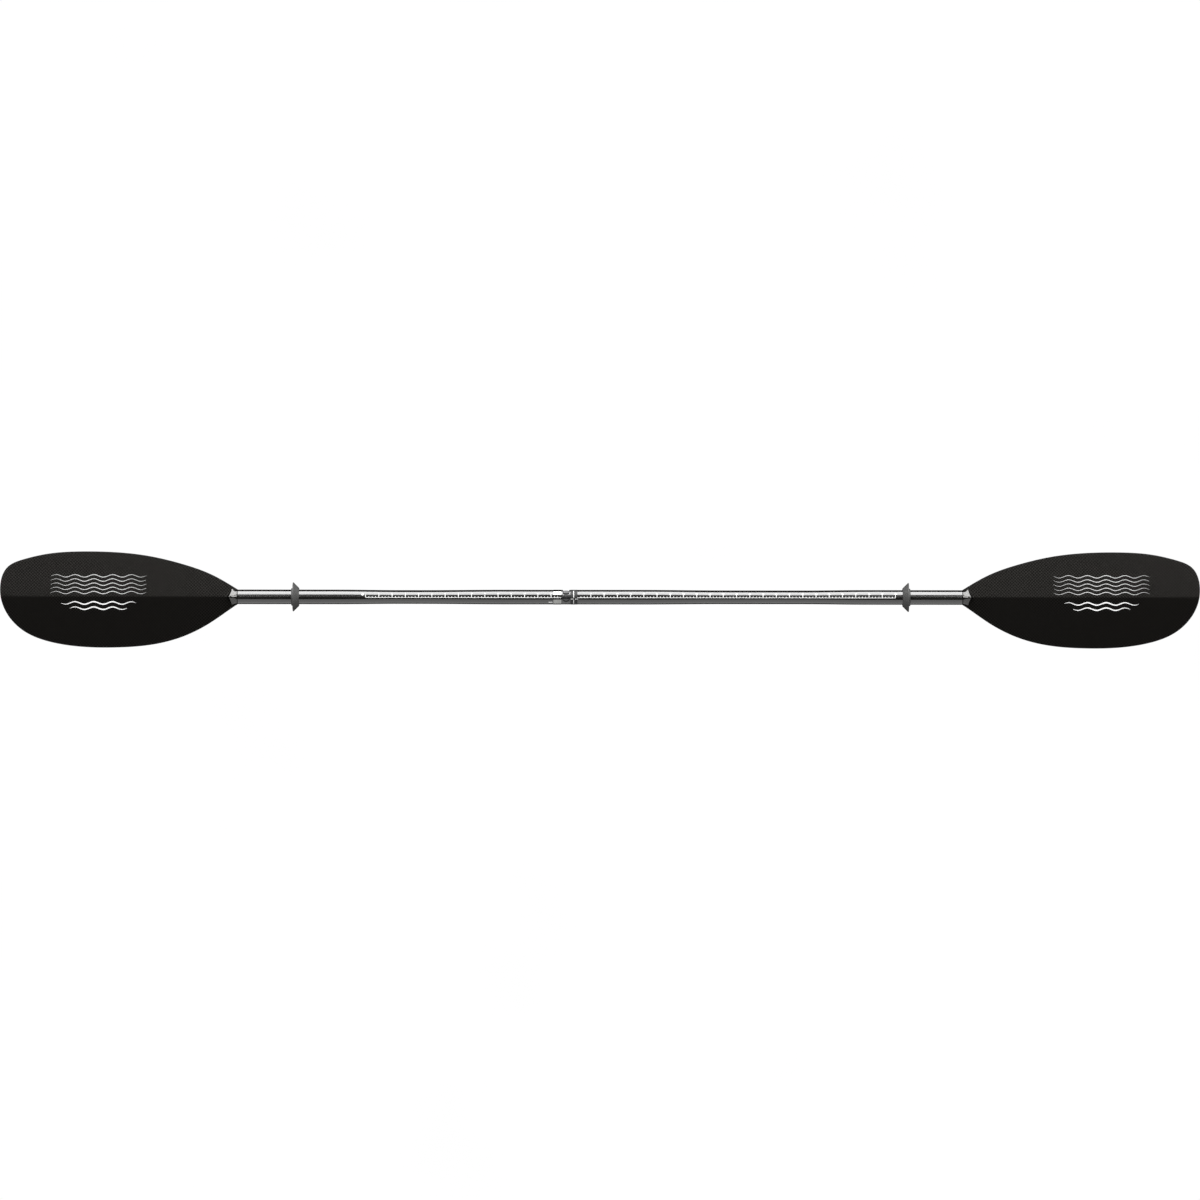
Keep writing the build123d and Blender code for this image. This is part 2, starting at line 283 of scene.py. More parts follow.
class Nodes:
    """Short calls for building a node material."""

    def __init__(self, name):
        self.material = bpy.data.materials.new(name)
        self.material.use_nodes = True
        self.tree = self.material.node_tree
        self.shader = self.tree.nodes["Principled BSDF"]
        self.place = self.add("ShaderNodeTexCoord").outputs["Object"]

    def add(self, kind, **settings):
        node = self.tree.nodes.new(kind)
        for key, value in settings.items():
            setattr(node, key, value)
        return node

    def join(self, value, socket):
        if isinstance(value, bpy.types.NodeSocket):
            self.tree.links.new(value, socket)
        else:
            socket.default_value = value

    def math(self, operation, a, b=0.0, c=0.0):
        node = self.add("ShaderNodeMath", operation=operation)
        for value, socket in zip((a, b, c), node.inputs):
            self.join(value, socket)
        return node.outputs[0]

    def split(self, vector):
        node = self.add("ShaderNodeSeparateXYZ")
        self.join(vector, node.inputs[0])
        return node.outputs

    def noise(self, scale, detail=3.0, vector=None):
        node = self.add("ShaderNodeTexNoise")
        node.inputs["Scale"].default_value = scale
        node.inputs["Detail"].default_value = detail
        self.join(vector or self.place, node.inputs["Vector"])
        return node.outputs["Fac"]

    def stretch(self, x, y, z):
        """Object coordinates scaled by axis, which draws a noise out into streaks."""
        node = self.add("ShaderNodeVectorMath", operation="MULTIPLY")
        self.join(self.place, node.inputs[0])
        node.inputs[1].default_value = (x, y, z)
        return node.outputs[0]

    def ramp(self, fac, low, high, low_at=0.3, high_at=0.7):
        """Colour that is low up to low_at, and high from high_at on."""
        node = self.add("ShaderNodeValToRGB")
        self.join(fac, node.inputs[0])
        node.color_ramp.elements[0].position = low_at
        node.color_ramp.elements[0].color = (*low, 1)
        node.color_ramp.elements[1].position = high_at
        node.color_ramp.elements[1].color = (*high, 1)
        return node.outputs[0]

    def span(self, fac, low, high):
        """Number that runs from low to high with fac."""
        node = self.add("ShaderNodeMapRange")
        self.join(fac, node.inputs["Value"])
        node.inputs["To Min"].default_value = low
        node.inputs["To Max"].default_value = high
        return node.outputs[0]

    def mix(self, fac, low, high):
        """Number that is low where fac is 0 and high where it is 1."""
        node = self.add("ShaderNodeMix", data_type="FLOAT")
        for value, name in ((fac, "Factor"), (low, "A"), (high, "B")):
            self.join(value, node.inputs[name])
        return node.outputs["Result"]

    def bump(self, height, strength, distance):
        node = self.add("ShaderNodeBump")
        self.join(height, node.inputs["Height"])
        node.inputs["Strength"].default_value = strength
        node.inputs["Distance"].default_value = distance
        self.tree.links.new(node.outputs[0], self.shader.inputs["Normal"])

    def set(self, **values):
        for key, value in values.items():
            self.join(value, self.shader.inputs[key.replace("_", " ")])


def plain_weave(nodes, across, along, tow):
    """Plain weave: returns (1 where the warp lies on top, height of the tows)."""
    u = nodes.math("DIVIDE", across, tow)
    v = nodes.math("DIVIDE", along, tow)
    step = nodes.math("ADD", nodes.math("FLOOR", u), nodes.math("FLOOR", v))
    warp_up = nodes.math("LESS_THAN", nodes.math("FLOORED_MODULO", step, 2.0), 0.5)
    crown_u = nodes.math("SINE", nodes.math("MULTIPLY", nodes.math("FRACT", u), math.pi))
    crown_v = nodes.math("SINE", nodes.math("MULTIPLY", nodes.math("FRACT", v), math.pi))
    return warp_up, nodes.mix(warp_up, crown_v, crown_u)


def blade_carbon():
    """Satin moulded carbon, glossy at the neck, that stays dark when seen at a low angle."""
    nodes = Nodes("blade_carbon")
    x, y, z = nodes.split(nodes.place)
    warp_up, height = plain_weave(nodes, x, y, TOW)
    lines_along = nodes.noise(1000.0, 2.0, nodes.stretch(0.15, 3.0, 1.0))
    lines_across = nodes.noise(1000.0, 2.0, nodes.stretch(3.0, 0.15, 1.0))
    fibres = nodes.mix(warp_up, lines_along, lines_across)
    shade = nodes.math("MULTIPLY", warp_up, 0.62)
    shade = nodes.math("MULTIPLY_ADD", height, 0.14, shade)
    shade = nodes.math("MULTIPLY_ADD", fibres, 0.3, shade)
    shade = nodes.math("MULTIPLY_ADD", nodes.noise(40.0, 4.0), 0.1, shade)
    from_seam = nodes.math("SUBTRACT", nodes.math("ABSOLUTE", x), NECK_X)
    seam = nodes.math("LESS_THAN", from_seam, SEAM_WIDTH)
    off_seam = nodes.math("SUBTRACT", 1.0, seam)
    above_face = nodes.math("MULTIPLY_ADD", nodes.math("ABSOLUTE", y), RIDGE_SLOPE, z)
    raised = nodes.math("GREATER_THAN", above_face, RIDGE_AT_NECK + SHINE_ABOVE_RIDGE)
    near_seam = nodes.math("LESS_THAN", from_seam, NECK_SLOPE_END)
    on_neck = nodes.math("MULTIPLY", nodes.math("MULTIPLY", near_seam, raised), off_seam)
    gloss = nodes.mix(on_neck, nodes.span(shade, 0.008, 0.14), nodes.span(shade, 0.2, 0.5))
    gloss = nodes.math("MULTIPLY", gloss, off_seam)
    facing_away = nodes.add("ShaderNodeLayerWeight").outputs["Facing"]
    sheen = nodes.math("MULTIPLY_ADD", facing_away, -2.0, 1.0)
    sheen = nodes.math("MAXIMUM", sheen, LOW_ANGLE_SHEEN)
    gloss = nodes.math("MULTIPLY", gloss, sheen)
    nodes.set(
        Base_Color=nodes.ramp(shade, (0.0006, 0.0006, 0.0005), (0.0036, 0.0033, 0.003), 0.1, 1.1),
        Roughness=nodes.span(shade, 0.32, 0.24),
        Specular_IOR_Level=gloss,
        Specular_Tint=(1.0, 0.96, 0.9, 1.0),
        Coat_Weight=on_neck,
        Coat_Roughness=0.08,
    )
    nodes.bump(height, 0.1, 0.05 * MM)
    return nodes.material


def cut_edge_carbon():
    """Sanded laminate edge."""
    nodes = Nodes("cut_edge_carbon")
    grain = nodes.noise(900.0, 3.0)
    nodes.set(
        Base_Color=nodes.ramp(grain, (0.002, 0.002, 0.002), (0.006, 0.0055, 0.005)),
        Roughness=nodes.span(grain, 0.6, 0.75),
        Specular_IOR_Level=0.06,
    )
    nodes.bump(grain, 0.15, 0.05 * MM)
    return nodes.material


def shaft_carbon():
    """Gloss-lacquered carbon tube, with the lay-up just showing through."""
    nodes = Nodes("shaft_carbon")
    streaks = nodes.noise(60.0, 4.0, nodes.stretch(0.6, 8.0, 8.0))
    flecks = nodes.noise(700.0, 2.0)
    mixed = nodes.math("MULTIPLY_ADD", flecks, 0.4, nodes.math("MULTIPLY", streaks, 0.6))
    nodes.set(
        Base_Color=nodes.ramp(mixed, (0.002, 0.0019, 0.0018), (0.006, 0.0057, 0.0054)),
        Roughness=nodes.span(mixed, 0.24, 0.16),
        Coat_Weight=1.0,
        Coat_Roughness=0.04,
    )
    nodes.bump(nodes.noise(14.0, 2.0), 0.04, 0.2 * MM)
    return nodes.material


def polished_metal():
    """Bright turned ring with fine lathe lines."""
    nodes = Nodes("polished_metal")
    lines = nodes.noise(900.0, 2.0, nodes.stretch(6.0, 0.02, 0.02))
    nodes.set(
        Base_Color=nodes.ramp(lines, (0.2, 0.2, 0.19), (0.34, 0.34, 0.33)),
        Metallic=1.0,
        Roughness=nodes.span(lines, 0.1, 0.2),
    )
    nodes.bump(lines, 0.08, 0.05 * MM)
    return nodes.material


def spring_steel():
    """Bare strip steel with rolling marks."""
    nodes = Nodes("spring_steel")
    marks = nodes.noise(500.0, 3.0, nodes.stretch(0.2, 3.0, 3.0))
    nodes.set(
        Base_Color=nodes.ramp(marks, (0.34, 0.34, 0.33), (0.52, 0.51, 0.49)),
        Metallic=1.0,
        Roughness=nodes.span(marks, 0.28, 0.42),
    )
    return nodes.material


def moulded(name, dark, light, rough, grain, strength, coat=0.0, shine=0.5):
    """Moulded plastic or rubber: fine grain and a slight drift between two colours."""
    nodes = Nodes(name)
    drift = nodes.noise(35.0, 4.0)
    fine = nodes.noise(grain, 3.0)
    mixed = nodes.math("MULTIPLY_ADD", fine, 0.35, nodes.math("MULTIPLY", drift, 0.65))
    nodes.set(
        Base_Color=nodes.ramp(mixed, dark, light),
        Roughness=nodes.span(fine, rough - 0.06, rough + 0.06),
        Specular_IOR_Level=shine,
        Coat_Weight=coat,
        Coat_Roughness=0.08,
    )
    nodes.bump(fine, strength, 0.1 * MM)
    return nodes.material


def closed_foam():
    """Pale closed-cell foam."""
    nodes = Nodes("closed_foam")
    cells = nodes.add("ShaderNodeTexVoronoi")
    cells.inputs["Scale"].default_value = 900.0
    nodes.join(nodes.place, cells.inputs["Vector"])
    distance = cells.outputs["Distance"]
    nodes.set(
        Base_Color=nodes.ramp(distance, (0.55, 0.5, 0.38), (0.78, 0.74, 0.62), 0.1, 0.8),
        Roughness=0.85,
    )
    nodes.bump(distance, 0.3, 0.2 * MM)
    return nodes.material


def grey(tone):
    """Neutral colour."""
    return (tone, tone, tone)


def ink(name, thin, full):
    """Printed ink, a little uneven in cover."""
    nodes = Nodes(name)
    cover = nodes.noise(600.0, 3.0)
    nodes.set(
        Base_Color=nodes.ramp(cover, grey(thin), (full, full, full * 0.98)),
        Roughness=0.4,
    )
    return nodes.material


MATERIALS = {
    "blade": blade_carbon(),
    "edge": cut_edge_carbon(),
    "shaft": shaft_carbon(),
    "polished": polished_metal(),
    "spring": spring_steel(),
    "ferrule": moulded("ferrule_plastic", grey(0.003), grey(0.009), 0.3, 500.0, 0.08, coat=0.8),
    "collar": moulded("collar_plastic", grey(0.004), grey(0.01), 0.5, 500.0, 0.1, shine=0.25),
    "button": moulded("button_plastic", grey(0.006), grey(0.014), 0.42, 700.0, 0.12),
    "rubber": moulded("drip_rubber", grey(0.01), (0.021, 0.021, 0.02), 0.62, 800.0, 0.2),
    "seal": moulded("seal_rubber", grey(0.006), grey(0.014), 0.4, 600.0, 0.1),
    "foam": closed_foam(),
    "ink": ink("white_ink", 0.3, 0.42),
    "grey_ink": ink("grey_ink", 0.16, 0.26),
}


# Shafts

def shaft_oval(x, grip):
    """Half width and half depth of the shaft at x."""
    start, full, fade, end = grip
    share = ease((x - start) / (full - start)) * ease((end - x) / (end - fade))
    width = SHAFT_RADIUS + (GRIP_HALF_WIDTH - SHAFT_RADIUS) * share
    depth = SHAFT_RADIUS + (GRIP_HALF_DEPTH - SHAFT_RADIUS) * share
    return width, depth


def shaft_piece(side, x_from, x_to, grip):
    """Carbon tube, closed round its wall at both ends."""
    wall = SHAFT_RADIUS - SHAFT_BORE
    run = x_to - x_from
    outer = [(x_from + run * i / SHAFT_STEPS, 0.0) for i in range(SHAFT_STEPS + 1)]
    inner = [(x, wall) for x, _ in reversed(outer)]
    stations = outer + inner
    vertices = []
    for x, inset in stations:
        width, depth = shaft_oval(x, grip)
        for j in range(ROUND_STEPS):
            angle = 2 * math.pi * j / ROUND_STEPS
            vertices.append((x, (width - inset) * math.sin(angle), (depth - inset) * math.cos(angle)))
    faces = grid_faces(len(stations), ROUND_STEPS, wrap_rows=True, wrap_columns=True)
    name = f"{side}_shaft_tube"
    piece = make_piece(name, vertices, faces, f"{side}_half", MATERIALS["shaft"])
    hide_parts(f"{side}_shaft")


# Blades

def smooth_curve(points, start_direction, end_direction, fine_length):
    """Cubic spline through points, with set end directions, sampled finely near its ends."""
    p = np.array(points, float)
    chords = np.linalg.norm(np.diff(p, axis=0), axis=1)
    at = np.concatenate([[0], np.cumsum(chords)])
    size = len(p)
    system = np.eye(size)
    target = np.zeros((size, 2))
    target[0] = np.array(start_direction) / np.linalg.norm(start_direction)
    target[-1] = np.array(end_direction) / np.linalg.norm(end_direction)
    for i in range(1, size - 1):
        before, after = chords[i - 1], chords[i]
        system[i, i - 1 : i + 2] = after, 2 * (before + after), before
        target[i] = 3 * (after / before * (p[i] - p[i - 1]) + before / after * (p[i + 1] - p[i]))
    slopes = np.linalg.solve(system, target)
    length = at[-1]
    fine = np.linspace(0, fine_length, 80, endpoint=False)
    middle = np.linspace(fine_length, length - fine_length, 260)
    curve = []
    for s in np.concatenate([fine, middle, length - fine[::-1]]):
        i = min(max(np.searchsorted(at, s, side="right") - 1, 0), size - 2)
        h = chords[i]
        t = (s - at[i]) / h
        curve.append(
            (2 * t**3 - 3 * t**2 + 1) * p[i]
            + (t**3 - 2 * t**2 + t) * h * slopes[i]
            + (3 * t**2 - 2 * t**3) * p[i + 1]
            + (t**3 - t**2) * h * slopes[i + 1]
        )
    return np.array(curve)


def blade_edge():
    """Edge of the right blade, from the neck's upper side round the tip to its lower side."""
    corners = [(TIP_X - u * MM, y * MM) for u, y in UPPER_EDGE + [TIP_POINT] + LOWER_EDGE]
    points = [(NECK_X, SHAFT_RADIUS), *corners, (NECK_X, -SHAFT_RADIUS)]
    fine_length = 1.2 * NECK_SLOPE_END
    return smooth_curve(points, (1, NECK_EDGE_SLOPE), (-1, NECK_EDGE_SLOPE), fine_length)


def face_height(x, y):
    """Power face of the right blade: spooned along, with a ridge on the axis."""
    along = (x - NECK_X) / (TIP_X - NECK_X)
    across = math.sqrt(y * y + RIDGE_SOFTNESS**2) - RIDGE_SOFTNESS
    return RIDGE_AT_NECK + TIP_RISE * along**2 - RIDGE_SLOPE * across


def blend_max(a, b, softness):
    """Larger of two heights, with a fillet where they meet."""
    gap = max(softness - abs(a - b), 0) / softness
    return max(a, b) + gap * gap * softness / 4


def round_top(y, radius):
    """Height of a round bar's top at y, falling away steeply beyond it."""
    if abs(y) < radius:
        return math.sqrt(radius * radius - y * y)
    return -SPINE_SIDE_SLOPE * (abs(y) - radius)


def spine_line(x):
    """How far the spine has run, its radius and the height of its axis at x."""
    run = (x - NECK_X - SPINE_TAPER_START) / (SPINE_LENGTH - SPINE_TAPER_START)
    run = min(max(run, 0), 1)
    return run, SHAFT_RADIUS + (SPINE_TIP_RADIUS - SHAFT_RADIUS) * run, SPINE_RISE * run


def spine_foot(x):
    """Distance from the axis to where the spine, with its fillet, meets the back."""
    _, radius, rise = spine_line(x)
    plate = face_height(x, radius) - BLADE_THICKNESS - rise
    return radius + max(plate, 0) / SPINE_SIDE_SLOPE + SPINE_FOOT_MARGIN


def upper_height(x, y):
    """Power side, with a neck that goes from round to a gable and then drops to the face."""
    share = ease((x - NECK_X) / ROUND_TO_GABLE)
    gable = GABLE_HEIGHT - GABLE_SLOPE * (math.hypot(y, GABLE_SOFTNESS) - GABLE_SOFTNESS)
    body = round_top(y, SHAFT_RADIUS) * (1 - share) + gable * share
    rise = (NECK_X + NECK_SLOPE_END - NECK_SKEW * abs(y) - x) / NECK_DROP
    drop = RIDGE_AT_NECK + (SHAFT_RADIUS - RIDGE_AT_NECK) * rise
    neck = -blend_max(-body, -drop, NECK_FILLET)
    return blend_max(face_height(x, y), neck, NECK_FILLET)


def lower_height(x, y):
    """Back side, with the spine that fades out along the blade."""
    run, radius, rise = spine_line(x)
    spine = round_top(y, radius) - rise if run < 1 else -SHAFT_RADIUS
    plate = BLADE_THICKNESS - face_height(x, y)
    return -blend_max(plate, spine, SPINE_FILLET)


def bond_height(x, y):
    """Where the two skins are bonded, one skin under the power face."""
    return face_height(x, y) - SKIN


def across_shares(foot):
    """Shares of the half width for one row: fine over the spine, then out to the edge."""
    return [foot * t for t in SPINE_SHARES] + [foot + (1 - foot) * t for t in FACE_SHARES]


def plan_point(point, normal, share, inset):
    """Plan position at a share of the way from the blade's axis to its edge, less an inset."""
    x, y = point - normal * inset
    if abs(point[0] - NECK_X) < 1e-6:
        x = NECK_X  # both ends of the edge stay flush with the shaft
    axis_x = min(point[0], TIP_X - TIP_FAN)
    return axis_x + (x - axis_x) * share, y * share


def skin_row(point, normal, surface, rim_start):
    """Section of a skin at one place on the edge: outer surface, its half of the rim, bonded face."""
    half = BLADE_THICKNESS / 2
    bond_angle = math.acos((half - SKIN) / half)
    rim_y = max(abs(point[1] - normal[1] * half), 0.1 * MM)
    foot = min(spine_foot(min(point[0], TIP_X - TIP_FAN)) / rim_y, 0.8)
    row = []
    for share in across_shares(foot):
        x, y = plan_point(point, normal, share, half)
        row.append((x, y, surface(x, y)))
    for step in range(1, RIM_STEPS + 1):
        angle = rim_start + (bond_angle - rim_start) * step / RIM_STEPS
        x, y = plan_point(point, normal, 1, half * (1 - math.sin(angle)))
        row.append((x, y, face_height(x, y) - half + half * math.cos(angle)))
    for share in BOND_SHARES:
        x, y = plan_point(point, normal, share, BLADE_THICKNESS)
        row.append((x, y, bond_height(x, y)))
    return row


def blade_skin(side, name, surface, rim_start):
    """One blade skin, closed, with its rim in the cut-edge material."""
    flip = 1 if side == "right" else -1
    edge = blade_edge()
    tangent = np.gradient(edge, axis=0)
    outward = np.stack([-tangent[:, 1], tangent[:, 0]], axis=1)
    outward /= np.linalg.norm(outward, axis=1)[:, None]
    rows = [skin_row(point, normal, surface, rim_start) for point, normal in zip(edge, outward)]
    vertices = [(flip * x, y, z) for row in rows for x, y, z in row]
    columns = len(rows[0])
    faces = grid_faces(len(rows), columns)
    faces.append(tuple(range(columns)))
    faces.append(tuple(range(len(vertices) - columns, len(vertices))))
    body = f"{side}_half"
    piece = make_piece(f"{side}_{name}", vertices, faces, body, MATERIALS["blade"], 40)
    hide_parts(f"{side}_blade_{name}")
    piece.data.materials.append(MATERIALS["edge"])
    rim_column = len(SPINE_SHARES) + len(FACE_SHARES) - 1
    for polygon in piece.data.polygons:
        column = polygon.index % (columns - 1)
        if rim_column <= column < rim_column + RIM_STEPS:
            polygon.material_index = 1


def blade_spigot(side):
    """Stub of the back skin that is bonded inside the shaft."""
    flip = 1 if side == "right" else -1
    outline = [
        (flip * SPIGOT_START, SHAFT_BORE),
        (flip * NECK_X, SHAFT_BORE),
        (flip * NECK_X, SHAFT_BORE - SPIGOT_WALL),
        (flip * SPIGOT_START, SHAFT_BORE - SPIGOT_WALL),
    ]
    lathe(f"{side}_blade_spigot", outline, f"{side}_half", MATERIALS["blade"])


def drip_ring_piece(side, x):
    """Rubber cup that starts at x, with a rolled rim, open towards the blade."""
    rim = DRIP_RIM_RADIUS
    bore = SHAFT_RADIUS + DRIP_BORE_GAP
    hub = bore + DRIP_HUB_WALL
    skirt = DRIP_RING_LENGTH - 3 * MM
    corners = [
        (0, bore),
        (0, hub + 1.0 * MM),
        (1.0 * MM, hub + 2.0 * MM),
        (skirt - 1.6 * MM, rim - 0.4 * MM),
        (skirt - 0.7 * MM, rim),
        (skirt + 0.1 * MM, rim - 0.3 * MM),
        (skirt, rim - 1.4 * MM),
        (5.2 * MM, hub + 1.3 * MM),
        (DRIP_RING_LENGTH - 0.5 * MM, hub + 0.4 * MM),
        (DRIP_RING_LENGTH, hub),
        (DRIP_RING_LENGTH, bore),
    ]
    outward = 1 if side == "right" else -1
    outline = [(x + outward * along, r) for along, r in rounded(corners, 0.8 * MM)]
    piece = lathe(f"{side}_drip_cup", outline, f"{side}_ring", MATERIALS["rubber"])
    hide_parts(f"{side}_drip_ring")


# Printing

def on_shaft(x, s, grip):
    """Point just above the shaft at x, with s measured round it from its top towards +Y."""
    width, depth = shaft_oval(x, grip)
    angle = s / SHAFT_RADIUS
    y = (width + SHAFT_INK_LIFT) * math.sin(angle)
    return x, y, (depth + SHAFT_INK_LIFT) * math.cos(angle)


class Print:
    """Ink marks gathered into one mesh; place(x, s) gives the point for x along and s round."""

    def __init__(self, place):
        self.place = place
        self.vertices = []
        self.faces = []

    def bar(self, x0, x1, s0, s1):
        """Filled rectangle, divided so that it follows the surface."""
        across = max(1, math.ceil(abs(s1 - s0) / (1.0 * MM)))
        along = max(1, math.ceil(abs(x1 - x0) / (8.0 * MM)))
        base = len(self.vertices)
        for i in range(along + 1):
            for j in range(across + 1):
                x = x0 + (x1 - x0) * i / along
                s = s0 + (s1 - s0) * j / across
                self.vertices.append(self.place(x, s))
        for face in grid_faces(along + 1, across + 1):
            self.faces.append(tuple(base + v for v in face))

    def disc(self, x, s, radius):
        """Filled round dot."""
        base = len(self.vertices)
        count = 24
        self.vertices.append(self.place(x, s))
        for i in range(count):
            angle = 2 * math.pi * i / count
            self.vertices.append(self.place(x + radius * math.cos(angle), s + radius * math.sin(angle)))
            self.faces.append((base, base + 1 + i, base + 1 + (i + 1) % count))

    def number(self, value, x, s, height):
        """Digits centred on x, with their foot at s."""
        curve = bpy.data.curves.new("digits", "FONT")
        curve.body = str(value)
        curve.align_x = "CENTER"
        curve.size = height * 1.4  # a digit is about 0.7 of its font's size
        curve.resolution_u = 3
        text = bpy.data.objects.new("digits", curve)
        bpy.context.collection.objects.link(text)
        bpy.context.view_layer.update()
        flat = bpy.data.meshes.new_from_object(text.evaluated_get(bpy.context.evaluated_depsgraph_get()))
        bpy.data.objects.remove(text)
        work = bmesh.new()
        work.from_mesh(flat)
        bmesh.ops.triangulate(work, faces=work.faces)
        bmesh.ops.subdivide_edges(work, edges=work.edges, cuts=1)
        bmesh.ops.triangulate(work, faces=work.faces)
        base = len(self.vertices)
        work.verts.ensure_lookup_table()
        for vertex in work.verts:
            self.vertices.append(self.place(x + vertex.co.x, s + vertex.co.y))
        for face in work.faces:
            self.faces.append(tuple(base + v.index for v in face.verts))
        work.free()
        bpy.data.meshes.remove(flat)

    def finish(self, name, body, slot, ink_name="ink"):
        return make_piece(name, self.vertices, self.faces, body, MATERIALS[ink_name])


def scale_marks(side, x_from, x_to, grip):
    """Inch scale on one shaft: baseline, inch ticks with numbers, and quarter ticks."""
    marks = Print(lambda x, s: on_shaft(x, s, grip))
    line_start = max(x_from, SCALE_START)
    line_end = min(x_to, SCALE_START + SCALE_INCHES * INCH)
    marks.bar(line_start, line_end, SCALE_LINE_FOOT, SCALE_LINE_TOP)
    for quarter in range(4 * SCALE_INCHES + 1):
        x = SCALE_START + quarter * INCH / 4
        if not x_from + 1 * MM < x < x_to - 1 * MM:
            continue
        if quarter % 4:
            marks.bar(x - QUARTER_TICK / 2, x + QUARTER_TICK / 2, SCALE_LINE_TOP, QUARTER_TICK_TOP)
            continue
        marks.bar(x - INCH_TICK / 2, x + INCH_TICK / 2, SCALE_LINE_TOP, INCH_TICK_TOP)
        if quarter:
            marks.number(quarter // 4, x, DIGIT_FOOT, DIGIT_HEIGHT)
    if side == "left":
        marks.disc(SCALE_START - DOT_BEFORE_SCALE, DOT_CENTRE, DOT_RADIUS)
        marks.bar(x_to - DASH_START, x_to - DASH_END, *DASH_SPAN)
    marks.finish(f"{side}_scale_print", f"{side}_half", "carbon_shaft")


def ferrule_marks():
    """Scale carried over the left ring, the line that reads the feather angle, and its marks."""
    left_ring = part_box("left_end_ring")
    right_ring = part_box("right_end_ring")
    radius = right_ring[1].y + RING_INK_LIFT

    def on_ring(x, s):
        angle = s / radius
        return x, radius * math.sin(angle), radius * math.cos(angle)

    scale = Print(on_ring)
    line_start = left_ring[0].x + RING_PRINT_MARGIN
    scale.bar(line_start, left_ring[1].x - RING_PRINT_MARGIN, SCALE_LINE_FOOT, SCALE_LINE_TOP)
    for quarter in RING_QUARTERS:
        x = SCALE_START + quarter * INCH / 4
        scale.bar(x - QUARTER_TICK / 2, x + QUARTER_TICK / 2, SCALE_LINE_TOP, QUARTER_TICK_TOP)
    scale.finish("left_ring_print", "left_half", "polished_ring")

    index_line = Print(on_ring)
    half = INDEX_LINE_WIDTH / 2
    for span in INDEX_LINE_SPANS:
        index_line.bar(INDEX_LINE_X - half, INDEX_LINE_X + half, *span)
    index_line.finish("index_line_print", "right_half", "ferrule")

    angle_marks = Print(on_ring)
    for step in ANGLE_MARK_STEPS:
        x = right_ring[0].x + ANGLE_MARK_START + ANGLE_MARK_PITCH * step
        angle_marks.bar(x, x + ANGLE_MARK_WIDTH, *ANGLE_MARK_SPAN)
    angle_marks.finish("angle_scale_print", "right_half", "ferrule", "grey_ink")


def wave(offset, length, thickness):
    """One tapered wave stroke on the right blade, centred on its wide part."""
    points = []
    for i in range(WAVE_STEPS + 1):
        t = i / WAVE_STEPS
        x = WAVE_CENTRE + (t - 0.5) * length
        y = offset + WAVE_HEIGHT * math.sin(2 * math.pi * (x - WAVE_CENTRE) / WAVE_PITCH)
        half = thickness * math.sin(math.pi * t) ** 0.5 + 0.05 * MM
        for edge in (y - half, y + half):
            points.append((x, edge, face_height(x, edge) + BLADE_INK_LIFT))
    return points


def wave_strokes(side):
    """Plain wave strokes on the power face, as a neutral decoration."""
    flip = 1 if side == "right" else -1
    rows = WAVE_STEPS + 1
    for finish, strokes in (("grey_ink", FINE_WAVES), ("ink", BOLD_WAVES)):
        vertices = []
        faces = []
        for offset, length, thickness in strokes:
            base = len(vertices)
            for x, y, z in wave(offset * MM, length * MM, thickness * MM):
                vertices.append((flip * x, y, z))
            for face in grid_faces(rows, 2):
                faces.append(tuple(base + v for v in face))
        name = f"{side}_{finish}_waves"
        make_piece(name, vertices, faces, f"{side}_half", MATERIALS[finish])


# Pieces that keep their CAD shape

CAD_FINISH = {
    "polished": ["left_end_ring"],
    "collar": ["right_end_ring"],
    "ferrule": ["male_ferrule", "female_ferrule"],
    "button": ["snap_button", "spigot_end_plug"],
    "spring": ["snap_spring"],
    "seal": ["seal_ring"],
    "foam": [
        "left_inner_plug", "right_inner_plug", "left_blade_plug", "right_blade_plug",
        "left_blade_core", "right_blade_core",
    ],
}


def finish_cad_nodes():
    """Give each node that is shown its material."""
    for finish, names in CAD_FINISH.items():
        for name in names:
            for slot in frame["nodes"][name].material_slots:
                slot.material = MATERIALS[finish]


# Stage

def floor():
    """Plain pale floor that glows evenly, so it takes no shadow, and stays out of reflections."""
    mesh = bpy.data.meshes.new("floor")
    work = bmesh.new()
    bmesh.ops.create_grid(work, x_segments=4, y_segments=4, size=40.0)
    work.to_mesh(mesh)
    work.free()
    plane = bpy.data.objects.new("floor", mesh)
    plane.location.z = FLOOR_Z
    bpy.context.collection.objects.link(plane)
    nodes = Nodes("pale_floor")
    nodes.set(
        Base_Color=(0, 0, 0, 1),
        Emission_Color=nodes.ramp(nodes.noise(2.0), (0.98, 0.98, 0.98), (1.0, 1.0, 1.0)),
        Emission_Strength=1.02,
        Roughness=1.0,
        Specular_IOR_Level=0.0,
    )
    mesh.materials.append(nodes.material)
    plane.visible_glossy = False


def panel(name, centre, target, size, radiance):
    """Softbox that faces a target; radiance is what a mirror would show."""
    light = bpy.data.lights.new(name, "AREA")
    light.shape = "RECTANGLE"
    light.size, light.size_y = size
    light.energy = radiance * size[0] * size[1] * math.pi
    lamp = bpy.data.objects.new(name, light)
    lamp.location = centre
    lamp.rotation_mode = "QUATERNION"
    lamp.rotation_quaternion = (Vector(target) - Vector(centre)).to_track_quat("-Z", "Y")
    lamp.visible_camera = False
    bpy.context.collection.objects.link(lamp)


def overhead_panel(name, x, size, radiance):
    """Softbox above the paddle that faces straight down."""
    panel(name, (x, OVERHEAD_Y, OVERHEAD_Z), (x, OVERHEAD_Y, 0), size, radiance)


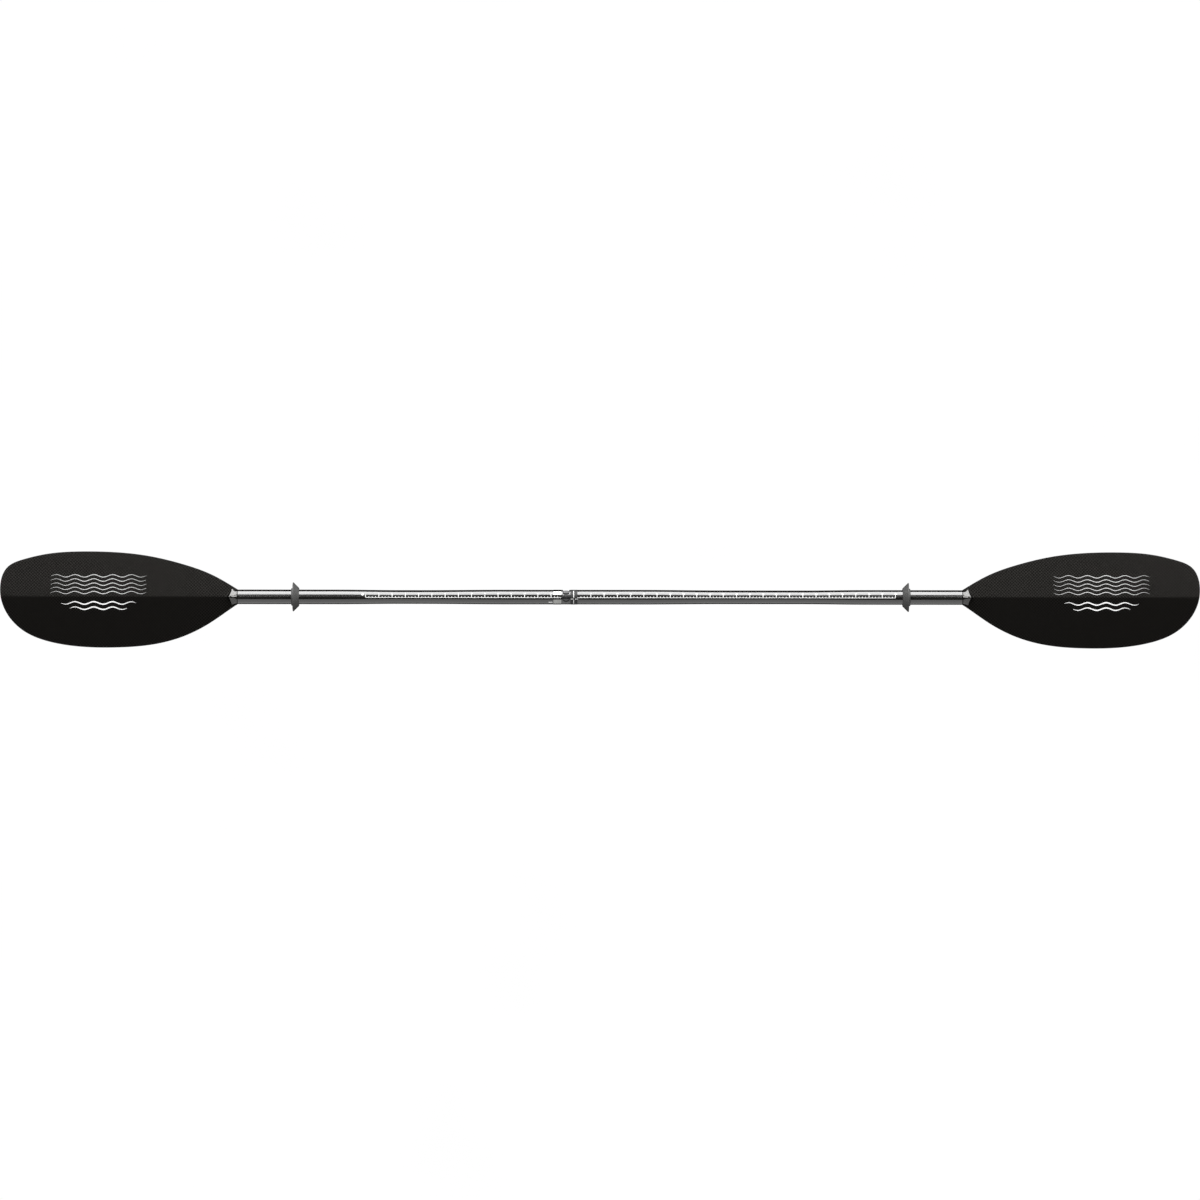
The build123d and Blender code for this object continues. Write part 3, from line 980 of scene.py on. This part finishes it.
def lights():
    """Bright softbox beyond the upper edge, three overhead, and a low bounce in front."""
    panel("back_softbox", (0, PANEL_Y, 1.62), (0, 0, 1.62), (8.0, 3.86), 9.3)
    overhead_panel("shaft_softbox", 0, (2.0, 1.4), 0.25)
    overhead_panel("left_blade_softbox", -BLADE_PANEL_X, (3.2, 1.4), 10.2)
    overhead_panel("right_blade_softbox", BLADE_PANEL_X, (3.2, 1.4), 10.2)
    panel("front_bounce", (0, -PANEL_Y, 0.94), (0, 0, 0.94), (8.0, 5.5), 1.18)


def world():
    """Even white surround for the floor, which the glossy coats don't mirror."""
    sky = bpy.data.worlds.new("surround")
    sky.use_nodes = True
    sky.node_tree.nodes["Background"].inputs["Color"].default_value = (1, 1, 1, 1)
    sky.node_tree.nodes["Background"].inputs["Strength"].default_value = 1.02
    bpy.context.scene.world = sky
    sky.cycles_visibility.glossy = False


def camera():
    """Long lens looking straight down on the power faces."""
    view_width = 2 * TIP_X / PICTURE_FILL
    data = bpy.data.cameras.new("camera")
    data.sensor_width = SENSOR_WIDTH
    data.lens = SENSOR_WIDTH * CAMERA_HEIGHT / view_width
    data.clip_end = 100.0
    eye = bpy.data.objects.new("camera", data)
    eye.location = (0, CAMERA_Y, CAMERA_HEIGHT)
    eye.rotation_euler = (0, 0, CAMERA_ROLL)
    bpy.context.collection.objects.link(eye)
    bpy.context.scene.camera = eye
    bpy.context.scene.view_settings.view_transform = "Standard"


shaft_piece("left", -NECK_X, LEFT_SHAFT_END, LEFT_GRIP)
shaft_piece("right", RIGHT_SHAFT_END, NECK_X, RIGHT_GRIP)
scale_marks("left", -NECK_X, LEFT_SHAFT_END, LEFT_GRIP)
scale_marks("right", RIGHT_SHAFT_END, NECK_X, RIGHT_GRIP)
ferrule_marks()
for side_name in ("left", "right"):
    blade_skin(side_name, "power_skin", upper_height, 0.0)
    blade_skin(side_name, "back_skin", lower_height, math.pi)
    blade_spigot(side_name)
    wave_strokes(side_name)
drip_ring_piece("left", LEFT_DRIP_RING_X)
drip_ring_piece("right", RIGHT_DRIP_RING_X)
finish_cad_nodes()
floor()
lights()
world()
camera()
